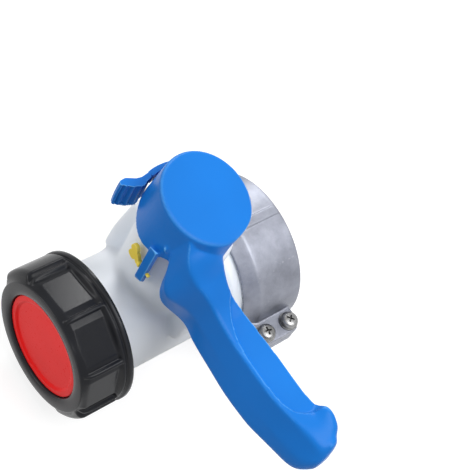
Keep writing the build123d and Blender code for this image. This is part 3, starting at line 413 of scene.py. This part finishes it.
# Closed rings of points, row after row along a profile that ends where it begins
def ringShell(name, rows, sides, mat, body, node):
    mesh = bpy.data.meshes.new(name)
    points = []
    for rule in rows:
        for i in range(sides):
            turn = 360.0 * i / sides
            radius, y = rule(turn)
            points.append((radius * math.cos(math.radians(turn)), y, radius * math.sin(math.radians(turn))))
    faces = []
    for row in range(len(rows)):
        nextRow = (row + 1) % len(rows)
        for i in range(sides):
            j = (i + 1) % sides
            faces.append((row * sides + i, row * sides + j, nextRow * sides + j, nextRow * sides + i))
    mesh.from_pydata(points, [], faces)
    bm = bmesh.new()
    bm.from_mesh(mesh)
    bmesh.ops.recalc_face_normals(bm, faces=bm.faces)
    bm.to_mesh(mesh)
    bm.free()
    for polygon in mesh.polygons:
        polygon.use_smooth = True
    mesh.materials.append(mat)
    shell = bpy.data.objects.new(name, mesh)
    bpy.context.scene.collection.objects.link(shell)
    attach(shell, body)
    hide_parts(node)
    print("stage:", name, len(faces), "faces")


# Union nut: radius as a rule of angle and place, so panels, ribs and lobes run into each other
cap = {
    "sides": 640, "rearY": -0.106, "frontY": -0.133, "lipY": -0.1288,
    "threadR": 0.0306, "mouthR": 0.0273, "flangeR": 0.040, "flangeEndY": -0.1088,
    "borderR": 0.0387, "borderEndY": -0.1104, "panelRearY": -0.1126, "panelR": 0.0366, "flatR": 0.0353,
    "panelFrontY": -0.1290, "noseR": 0.0345, "firstRib": 36.0, "sectors": 8,
    "ribHalf": 0.0007, "ribHeight": 0.0021, "ribFallY": -0.1235, "ribEndY": -0.1312,
    "lobes": (2, 6), "lobeHeight": 0.0031, "lobeFallY": -0.1278, "lobeEndY": -0.1322,
    "lobeSide": (0.0006, 0.0040), "threadPitch": 0.006, "threadDepth": 0.0025, "threadShift": 0.5,
    "threadSide": (0.10, 0.24), "threadRear": (0.0005, 0.0030), "threadLip": (0.0085, 0.0060),
    "rearBore": 0.0006, "rearRim": 0.0004, "lipBore": 0.0004, "noseInset": 0.0006, "noseRound": 0.0002,
    "rearRound": ((-0.0008, 0.0), (-0.0002, -0.0003), (0.0, -0.0008)),
    "flangeRound": ((0.0, 0.0006), (-0.0003, 0.0001)),
    "borderRound": ((0.0003, 0.0), (-0.0003, -0.0004), (0.0, -0.0009)),
    "mouthRound": ((0.0030, 0.0001), (0.0008, 0.0002), (0.0002, 0.0006), (0.0, 0.0012)),
    "borderSteps": 7, "panelSteps": 34, "threadSteps": 44,
}


# From 1 at the start to 0 at the end, like a quarter of an ellipse
def roundedFall(start, end, y):
    part = min(1.0, max(0.0, (start - y) / (start - end)))
    return math.sqrt(max(0.0, 1 - part * part))


# Outside of the nut: eight flat panels with a rib between them, and two raised grip lobes
def panelRadius(turn, y):
    step = 360 / cap["sectors"]
    place = (turn - cap["firstRib"]) / step
    sector = int(math.floor(place)) % cap["sectors"]
    share = place - math.floor(place)
    off = math.radians((share - 0.5) * step)
    arc = min(share, 1 - share) * math.radians(step) * cap["panelR"]
    base = min(cap["panelR"], cap["flatR"] / math.cos(off))
    nose = smoothStep(cap["panelFrontY"], cap["frontY"], y)
    base = base * (1 - nose) + cap["noseR"] * nose
    if sector in cap["lobes"]:
        lift = smoothStep(*cap["lobeSide"], arc) * roundedFall(cap["lobeFallY"], cap["lobeEndY"], y)
        base = base + (cap["panelR"] + cap["lobeHeight"] - base) * lift
    rib = 1 - smoothStep(cap["ribHalf"], cap["ribHalf"] * 2.0, arc)
    rib *= roundedFall(cap["ribFallY"], cap["ribEndY"], y)
    top = cap["panelR"] + cap["ribHeight"]
    return max(base, base + (top - base) * rib)


# Inside of the nut: a right-hand ridge, half a pitch away from the tube's
def threadRadius(turn, y):
    phase = ((y - cap["rearY"]) / cap["threadPitch"] + turn / 360.0 + cap["threadShift"]) % 1.0
    ridge = 1 - smoothStep(*cap["threadSide"], abs(phase - 0.5))
    rearFrom, rearTo = cap["threadRear"]
    lipFrom, lipTo = cap["threadLip"]
    start = smoothStep(cap["rearY"] - rearFrom, cap["rearY"] - rearTo, y)
    end = 1 - smoothStep(cap["lipY"] + lipFrom, cap["lipY"] + lipTo, y)
    return cap["threadR"] - cap["threadDepth"] * ridge * start * end


# Each row gives the radius and the place for a turn in degrees
def fixedRow(radius, y):
    return lambda turn: (radius, y)


# Rows round an edge, each shifted a little from its corner
def roundRows(radius, y, shifts):
    return [fixedRow(radius + out, y + along) for out, along in shifts]


def borderRow(part):
    y = cap["borderEndY"] + (cap["panelRearY"] - cap["borderEndY"]) * part
    ease = smoothStep(0.0, 1.0, part)

    def rule(turn):
        panel = panelRadius(turn, y)
        return max(cap["borderR"] * (1 - ease) + panel * ease, panel), y

    return rule


def panelRow(y):
    return lambda turn: (panelRadius(turn, y), y)


def threadRow(y):
    return lambda turn: (threadRadius(turn, y), y)


def evenPlaces(start, end, steps):
    return [start + (end - start) * i / steps for i in range(steps + 1)]


capRows = [fixedRow(cap["threadR"] + cap["rearBore"], cap["rearY"])]
capRows += roundRows(cap["flangeR"], cap["rearY"], cap["rearRound"])
capRows += roundRows(cap["flangeR"], cap["flangeEndY"], cap["flangeRound"])
capRows += roundRows(cap["borderR"], cap["flangeEndY"], cap["borderRound"])
capRows += [borderRow(i / cap["borderSteps"]) for i in range(cap["borderSteps"] + 1)]
panelEnd = cap["frontY"] + cap["noseRound"]
capRows += [panelRow(y) for y in evenPlaces(cap["panelRearY"], panelEnd, cap["panelSteps"])[1:]]
capRows.append(fixedRow(cap["noseR"] - cap["noseInset"], cap["frontY"]))
capRows += roundRows(cap["mouthR"], cap["frontY"], cap["mouthRound"])
capRows.append(fixedRow(cap["mouthR"], cap["lipY"]))
capRows.append(fixedRow(cap["threadR"] - cap["lipBore"], cap["lipY"]))
threadEnd = cap["rearY"] - cap["rearRim"]
capRows += [threadRow(y) for y in evenPlaces(cap["lipY"], threadEnd, cap["threadSteps"])]
ringShell("capShell", capRows, cap["sides"], blackPlastic, "cap", "cap_ring")


def newTree(name, inputs):
    tree = bpy.data.node_groups.new(name, "GeometryNodeTree")
    for label, kind in inputs:
        tree.interface.new_socket(label, in_out="INPUT", socket_type=kind)
    tree.interface.new_socket("Result", in_out="OUTPUT", socket_type="NodeSocketGeometry")
    return tree, tree.nodes.new("NodeGroupInput"), tree.nodes.new("NodeGroupOutput")


bakeWeld = 0.000002


# Runs a tree on an object, keeps the result as its plain mesh and takes the modifier off again
def bakeTree(piece, tree, values):
    run = piece.modifiers.new("make", "NODES")
    run.node_group = tree
    for item in tree.interface.items_tree:
        if item.item_type == "SOCKET" and item.in_out == "INPUT" and item.name in values:
            run[item.identifier] = values[item.name]
    depsgraph = bpy.context.evaluated_depsgraph_get()
    made = bpy.data.meshes.new_from_object(piece.evaluated_get(depsgraph))
    piece.modifiers.clear()
    piece.data = made
    made.name = piece.name
    bm = bmesh.new()
    bm.from_mesh(made)
    bmesh.ops.remove_doubles(bm, verts=bm.verts, dist=bakeWeld)
    bmesh.ops.recalc_face_normals(bm, faces=bm.faces)
    bm.to_mesh(made)
    bm.free()
    print("stage:", piece.name, len(made.polygons), "faces")


# A row of equal fasteners, each turned a little by chance
def fastenerTree():
    tree, source, result = newTree("fastenerRow", [
        ("Piece", "NodeSocketGeometry"), ("Count", "NodeSocketInt"), ("Start", "NodeSocketVector"),
        ("Step", "NodeSocketVector"), ("Most turn", "NodeSocketFloat"), ("Seed", "NodeSocketInt"),
        ("Finish", "NodeSocketMaterial"),
    ])
    link = tree.links.new
    line = tree.nodes.new("GeometryNodeMeshLine")
    spread = tree.nodes.new("GeometryNodeInstanceOnPoints")
    chance = tree.nodes.new("FunctionNodeRandomValue")
    turn = tree.nodes.new("ShaderNodeCombineXYZ")
    angle = tree.nodes.new("FunctionNodeEulerToRotation")
    solid = tree.nodes.new("GeometryNodeRealizeInstances")
    finish = tree.nodes.new("GeometryNodeSetMaterial")
    link(source.outputs["Count"], line.inputs["Count"])
    link(source.outputs["Start"], line.inputs["Start Location"])
    link(source.outputs["Step"], line.inputs["Offset"])
    link(line.outputs["Mesh"], spread.inputs["Points"])
    link(source.outputs["Piece"], spread.inputs["Instance"])
    link(source.outputs["Most turn"], chance.inputs["Max"])
    link(source.outputs["Seed"], chance.inputs["Seed"])
    link(chance.outputs["Value"], turn.inputs["Z"])
    link(turn.outputs["Vector"], angle.inputs["Euler"])
    link(angle.outputs["Rotation"], spread.inputs["Rotation"])
    link(spread.outputs["Instances"], solid.inputs["Geometry"])
    link(solid.outputs["Geometry"], finish.inputs["Geometry"])
    link(source.outputs["Finish"], finish.inputs["Material"])
    link(finish.outputs["Geometry"], result.inputs["Result"])
    return tree


# A turned profile of (radius, height) pairs as a closed mesh round +Z
def turnedMesh(name, profile, sides, centreHole=False):
    mesh = bpy.data.meshes.new(name)
    bm = bmesh.new()
    rings = []
    for radius, height in profile:
        ring = []
        for i in range(sides):
            turn = 2 * math.pi * i / sides
            ring.append(bm.verts.new((radius * math.cos(turn), radius * math.sin(turn), height)))
        rings.append(ring)
    pairs = list(zip(rings, rings[1:]))
    if centreHole:
        pairs.append((rings[-1], rings[0]))
    for low, high in pairs:
        for i in range(sides):
            j = (i + 1) % sides
            bm.faces.new((low[i], low[j], high[j], high[i]))
    if not centreHole:
        bm.faces.new(rings[0])
        bm.faces.new(rings[-1])
    bmesh.ops.recalc_face_normals(bm, faces=bm.faces)
    bm.to_mesh(mesh)
    bm.free()
    return mesh


def cutFrom(piece, cutterMesh):
    cutter = bpy.data.objects.new("cutter", cutterMesh)
    bpy.context.scene.collection.objects.link(cutter)
    cut = piece.modifiers.new("cut", "BOOLEAN")
    cut.object = cutter
    cut.solver = "EXACT"
    made = bpy.data.meshes.new_from_object(piece.evaluated_get(bpy.context.evaluated_depsgraph_get()))
    piece.modifiers.clear()
    piece.data = made
    bpy.data.objects.remove(cutter)


def shadeBySharpness(mesh, degrees):
    for polygon in mesh.polygons:
        polygon.use_smooth = True
    mesh.set_sharp_from_angle(angle=math.radians(degrees))


# Clamp screws, washers and nuts: one of each is turned, then set twice along the lug
screws = {
    "count": 2, "start": (0.048965, -0.0115, 0.0), "step": (0.0, -0.0157, 0.0), "mostTurn": 1.4, "seed": 5,
    "sides": 64, "sharpAngle": 32, "centreR": 0.0006, "shaftR": 0.0025, "tailZ": -0.013, "tailBevel": 0.0006,
    "headR": 0.0047, "headBottom": 0.007, "headHeight": 0.0032,
    "headSide": ((-0.0002, 0.0), (0.0, 0.0003), (0.0, 0.0014), (-0.0003, 0.0021)),
    "headCrown": ((-0.0010, -0.0005), (-0.0020, -0.0001)),
    "crossHalf": 0.0026, "crossWidth": 0.0011, "crossDepth": 0.0018, "crossTaper": 0.55, "crossRise": 0.001,
}
headTop = screws["headBottom"] + screws["headHeight"]
screwProfile = [
    (screws["centreR"], screws["tailZ"]), (screws["shaftR"] - screws["tailBevel"], screws["tailZ"]),
    (screws["shaftR"], screws["tailZ"] + screws["tailBevel"]), (screws["shaftR"], screws["headBottom"]),
]
screwProfile += [(screws["headR"] + out, screws["headBottom"] + up) for out, up in screws["headSide"]]
screwProfile += [(screws["headR"] + out, headTop + up) for out, up in screws["headCrown"]]
screwProfile.append((screws["centreR"], headTop))
screwRow = bpy.data.objects.new("screwRow", turnedMesh("screwRow", screwProfile, screws["sides"]))
bpy.context.scene.collection.objects.link(screwRow)


# One arm of the cross recess, narrower at its bottom
def cutCross(piece, halfX, halfY):
    armMesh = bpy.data.meshes.new("crossArm")
    bm = bmesh.new()
    bmesh.ops.create_cube(bm, size=1.0)
    for vert in bm.verts:
        above = vert.co.z > 0
        taper = 1.0 if above else screws["crossTaper"]
        height = headTop + (screws["crossRise"] if above else -screws["crossDepth"])
        vert.co = (vert.co.x * 2 * halfX * taper, vert.co.y * 2 * halfY * taper, height)
    bm.to_mesh(armMesh)
    bm.free()
    cutFrom(piece, armMesh)


cutCross(screwRow, screws["crossHalf"], screws["crossWidth"] / 2)
cutCross(screwRow, screws["crossWidth"] / 2, screws["crossHalf"])

washers = {"outerR": 0.0052, "holeR": 0.00275, "bottomZ": 0.006, "thick": 0.001, "edge": (0.0002, 0.0003)}
edgeIn, edgeUp = washers["edge"]
washerTop = washers["bottomZ"] + washers["thick"]
washerProfile = [
    (washers["holeR"], washers["bottomZ"]), (washers["outerR"] - edgeIn, washers["bottomZ"]),
    (washers["outerR"], washers["bottomZ"] + edgeUp), (washers["outerR"], washerTop - edgeUp),
    (washers["outerR"] - edgeIn, washerTop), (washers["holeR"], washerTop),
]
washerRow = bpy.data.objects.new("washerRow", turnedMesh("washerRow", washerProfile, screws["sides"], True))
bpy.context.scene.collection.objects.link(washerRow)

nuts = {"sides": 6, "flats": 0.008, "topZ": -0.006, "height": 0.004, "bevel": 0.0005, "holeR": 0.0026}
cornerR = nuts["flats"] / 2 / math.cos(math.pi / nuts["sides"])
nutBottom = nuts["topZ"] - nuts["height"]
nutProfile = [
    (nuts["holeR"], nuts["topZ"]), (cornerR - nuts["bevel"], nuts["topZ"]),
    (cornerR, nuts["topZ"] - nuts["bevel"] / 2), (cornerR, nutBottom + nuts["bevel"] / 2),
    (cornerR - nuts["bevel"], nutBottom), (nuts["holeR"], nutBottom),
]
nutRow = bpy.data.objects.new("nutRow", turnedMesh("nutRow", nutProfile, nuts["sides"], True))
bpy.context.scene.collection.objects.link(nutRow)
rowTree = fastenerTree()
fastenerRows = (
    (screwRow, "clamp_screws", screws["mostTurn"]),
    (washerRow, "clamp_washers", 0.0),
    (nutRow, "clamp_nuts", 0.0),
)
for piece, node, most in fastenerRows:
    bakeTree(piece, rowTree, {
        "Count": screws["count"], "Start": screws["start"], "Step": screws["step"],
        "Most turn": most, "Seed": screws["seed"], "Finish": zincSteel,
    })
    shadeBySharpness(piece.data, screws["sharpAngle"])
    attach(piece, "valve")
    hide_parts(node)


# Outlet thread: one ridge that winds round the tube's end
tubeThread = {
    "pitch": 0.006, "turns": 2.0, "rootR": 0.0273, "depth": 0.0026, "sunk": 0.0003, "startY": -0.1084,
    "rootHalf": 0.0015, "crestHalf": 0.0007, "steps": 96, "sharpAngle": 35,
}


def helixTree():
    tree, source, result = newTree("windingRidge", [
        ("Outline", "NodeSocketGeometry"), ("Turns", "NodeSocketFloat"), ("Radius", "NodeSocketFloat"),
        ("Height", "NodeSocketFloat"), ("Steps per turn", "NodeSocketInt"), ("Start", "NodeSocketVector"),
        ("Finish", "NodeSocketMaterial"),
    ])
    link = tree.links.new
    spiral = tree.nodes.new("GeometryNodeCurveSpiral")
    lean = tree.nodes.new("GeometryNodeSetCurveNormal")
    lean.mode = "Z_UP"
    outline = tree.nodes.new("GeometryNodeMeshToCurve")
    sweep = tree.nodes.new("GeometryNodeCurveToMesh")
    place = tree.nodes.new("GeometryNodeTransform")
    solid = tree.nodes.new("GeometryNodeRealizeInstances")
    finish = tree.nodes.new("GeometryNodeSetMaterial")
    spiral.inputs["Reverse"].default_value = True
    sweep.inputs["Fill Caps"].default_value = True
    place.inputs["Rotation"].default_value = (math.pi / 2, 0, 0)
    link(source.outputs["Turns"], spiral.inputs["Rotations"])
    link(source.outputs["Radius"], spiral.inputs["Start Radius"])
    link(source.outputs["Radius"], spiral.inputs["End Radius"])
    link(source.outputs["Height"], spiral.inputs["Height"])
    link(source.outputs["Steps per turn"], spiral.inputs["Resolution"])
    link(spiral.outputs["Curve"], lean.inputs["Curve"])
    link(source.outputs["Outline"], outline.inputs["Mesh"])
    link(lean.outputs["Curve"], sweep.inputs["Curve"])
    link(outline.outputs["Curve"], sweep.inputs["Profile Curve"])
    link(sweep.outputs["Mesh"], place.inputs["Geometry"])
    link(source.outputs["Start"], place.inputs["Translation"])
    link(place.outputs["Geometry"], solid.inputs["Geometry"])
    link(solid.outputs["Geometry"], finish.inputs["Geometry"])
    link(source.outputs["Finish"], finish.inputs["Material"])
    link(finish.outputs["Geometry"], result.inputs["Result"])
    return tree


outlineMesh = bpy.data.meshes.new("tubeThread")
rootHalf, crestHalf = tubeThread["rootHalf"], tubeThread["crestHalf"]
outlineMesh.from_pydata(
    [(-tubeThread["sunk"], -rootHalf, 0), (tubeThread["depth"], -crestHalf, 0),
     (tubeThread["depth"], crestHalf, 0), (-tubeThread["sunk"], rootHalf, 0)],
    [(0, 1), (1, 2), (2, 3), (3, 0)], [],
)
threadRidge = bpy.data.objects.new("tubeThread", outlineMesh)
bpy.context.scene.collection.objects.link(threadRidge)
bakeTree(threadRidge, helixTree(), {
    "Turns": tubeThread["turns"], "Radius": tubeThread["rootR"],
    "Height": tubeThread["pitch"] * tubeThread["turns"], "Steps per turn": tubeThread["steps"],
    "Start": (0.0, tubeThread["startY"], 0.0), "Finish": naturalPlastic,
})
shadeBySharpness(threadRidge.data, tubeThread["sharpAngle"])
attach(threadRidge, "valve")

# The floor is white to the camera and in reflections, and grey to the light, to keep the valve's shadow
floorGap = 0.0002
floorLook = {"size": 6.0, "z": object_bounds()[0][2] - floorGap, "glow": 0.78, "albedo": 0.36}
bpy.ops.mesh.primitive_plane_add(size=floorLook["size"], location=(0, 0, 0))
floor = bpy.context.object
floor.name = "floor"
floor.data.transform(Matrix.Translation((0, 0, floorLook["z"])))
floorMat, nodes, links, shader, coords = newMaterial("paleFloor")


# One for camera, glossy and transmission rays, and nothing for the others
def whiteRays(nodes, links):
    path = nodes.new("ShaderNodeLightPath")
    first = nodes.new("ShaderNodeMath")
    first.operation = "MAXIMUM"
    both = nodes.new("ShaderNodeMath")
    both.operation = "MAXIMUM"
    links.new(path.outputs["Is Camera Ray"], first.inputs[0])
    links.new(path.outputs["Is Glossy Ray"], first.inputs[1])
    links.new(first.outputs["Value"], both.inputs[0])
    links.new(path.outputs["Is Transmission Ray"], both.inputs[1])
    return both.outputs["Value"]


shader.inputs["Base Color"].default_value = (floorLook["albedo"],) * 3 + (1,)
shader.inputs["Roughness"].default_value = 1.0
shader.inputs["Specular IOR Level"].default_value = 0.0
shader.inputs["Emission Color"].default_value = (1, 1, 1, 1)
glow = nodes.new("ShaderNodeMath")
glow.operation = "MULTIPLY"
glow.inputs[1].default_value = floorLook["glow"]
links.new(whiteRays(nodes, links), glow.inputs[0])
links.new(glow.outputs["Value"], shader.inputs["Emission Strength"])
floor.data.materials.append(floorMat)

studio = {"fill": 0.36, "centre": (0.03, -0.07, 0.04)}
world = bpy.data.worlds.new("studio")
bpy.context.scene.world = world
world.use_nodes = True
worldNodes, worldLinks = world.node_tree.nodes, world.node_tree.links
background = worldNodes["Background"]
background.inputs["Color"].default_value = (1, 1, 1, 1)
strength = worldNodes.new("ShaderNodeMapRange")
strength.inputs["To Min"].default_value = studio["fill"]
strength.inputs["To Max"].default_value = 1.0
worldLinks.new(whiteRays(worldNodes, worldLinks), strength.inputs["Value"])
worldLinks.new(strength.outputs["Result"], background.inputs["Strength"])


def areaLight(name, place, size, power):
    data = bpy.data.lights.new(name, "AREA")
    data.shape = "RECTANGLE"
    data.size, data.size_y = size
    data.energy = power
    lamp = bpy.data.objects.new(name, data)
    lamp.location = place
    lamp.rotation_euler = (Vector(studio["centre"]) - Vector(place)).to_track_quat("-Z", "Y").to_euler()
    bpy.context.scene.collection.objects.link(lamp)


# Each lamp: place, size and watts
lamps = {
    "topSoftbox": ((0.33, 0.08, 0.82), (0.6, 0.6), 6.2),
    "sideSoftbox": ((-0.62, 0.42, 0.64), (0.24, 0.30), 4.0),
    "frontSoftbox": ((-0.45, -0.80, 0.25), (0.5, 0.4), 2.4),
}
for name, (place, size, power) in lamps.items():
    areaLight(name, place, size, power)
print("stage: floor, world and lamps")

# Camera fitted to the outlines in the photo: its place, its three axes and its focal length in pixels
view = {
    "place": (0.15739492, -0.35219865, 0.52052988), "focalPixels": 1196.8747, "imagePixels": 470,
    "sensor": 36, "nearest": 0.01,
    "right": (0.5635494, 0.7576113, 0.3292981),
    "down": (0.7856126, -0.3682795, -0.4971751),
    "forward": (-0.2553917, 0.5388834, -0.8027327),
}
camData = bpy.data.cameras.new("camera")
camData.sensor_width = view["sensor"]
camData.lens = view["focalPixels"] / view["imagePixels"] * view["sensor"]
camData.clip_start = view["nearest"]
camera = bpy.data.objects.new("camera", camData)
right, down, forward = (Vector(view[k]) for k in ("right", "down", "forward"))
turn = Matrix((right, -down, -forward)).transposed().to_4x4()
camera.matrix_world = Matrix.Translation(view["place"]) @ turn
bpy.context.scene.collection.objects.link(camera)
bpy.context.scene.camera = camera
bpy.context.scene.view_settings.view_transform = "Standard"
print("stage: camera")
